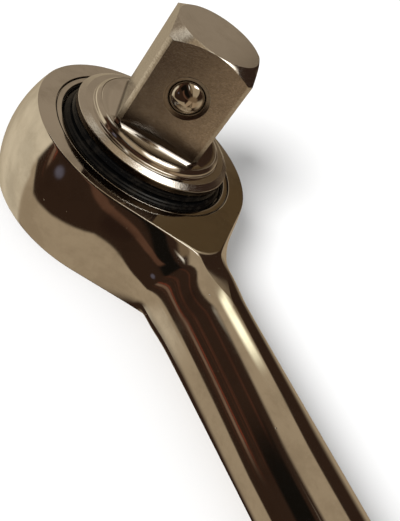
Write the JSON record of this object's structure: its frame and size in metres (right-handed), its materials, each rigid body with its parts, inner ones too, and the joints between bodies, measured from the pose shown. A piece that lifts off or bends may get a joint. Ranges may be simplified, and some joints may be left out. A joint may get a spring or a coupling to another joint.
{
  "type": "breaker bar",
  "caption": "Long round steel bar with a sealed round ratchet head, a detent ball in the drive square and a flush reversing lever.",
  "frame": {"origin": "on the drive axis, at the flat back face of the head", "axes": "+Z along the drive axis, out through the drive square; +X along the handle"},
  "size_m": [0.61, 0.0546, 0.0498],
  "materials": {
    "polished_chrome": "polished plating with a warm tint, fine pits",
    "drive_steel": "plated over ground flats and turned rings",
    "ball_steel": "polished ball",
    "hardened_steel": "machined and hardened, oiled",
    "spring_steel": "drawn wire",
    "bronze": "plain bearing bronze",
    "black_rubber": "oily black seal rubber"
  },
  "bodies": {
    "handle": {"head_and_bar": "polished_chrome", "thrust_washer": "bronze", "front_washer": "hardened_steel", "cover_ring": "polished_chrome", "cover_snap_ring": "spring_steel", "lower_seal": "black_rubber", "pawl_pin": "hardened_steel"},
    "drive": {"drive_gear": "drive_steel", "detent_spring": "spring_steel", "upper_seal": "black_rubber"},
    "ball": {"detent_ball": "ball_steel"},
    "selector": {"selector_spindle": "hardened_steel", "reversing_lever": "polished_chrome", "lever_screw": "hardened_steel", "spindle_oring": "black_rubber", "plunger_spring": "spring_steel"},
    "pawl": {"pawl": "hardened_steel"},
    "plunger": {"pawl_plunger": "hardened_steel"}
  },
  "joints": [
    {"name": "drive_spin", "type": "hinge", "parent": "handle", "child": "drive", "pos_m": [0, 0, 0.0102], "axis": [0, 0, 1], "continuous": true},
    {"name": "ball_press", "type": "slide", "parent": "drive", "child": "ball", "axis": [0.8083, -0.5888, 0], "range_m": [-0.0016, 0], "stiffness_N_per_m": 400, "springref_m": 0.002, "deforming": ["detent_spring"]},
    {"name": "lever_flip", "type": "hinge", "parent": "handle", "child": "selector", "pos_m": [0.0265, 0, 0.0012], "axis": [0, 0, 1], "range_deg": [0, 56]},
    {"name": "pawl_rock", "type": "hinge", "parent": "handle", "child": "pawl", "pos_m": [0.0184, 0, 0.0093], "axis": [0, 0, 1], "range_deg": [-11, 0]},
    {"name": "plunger_press", "type": "slide", "parent": "selector", "child": "plunger", "axis": [-0.8829, 0.4695, 0], "range_m": [-0.0007, 0], "stiffness_N_per_m": 50, "springref_m": 0.002, "deforming": ["plunger_spring"]}
  ],
  "couplings": [
    {"joint": "pawl_rock", "follows": "lever_flip", "ratio": -0.19643}
  ]
}
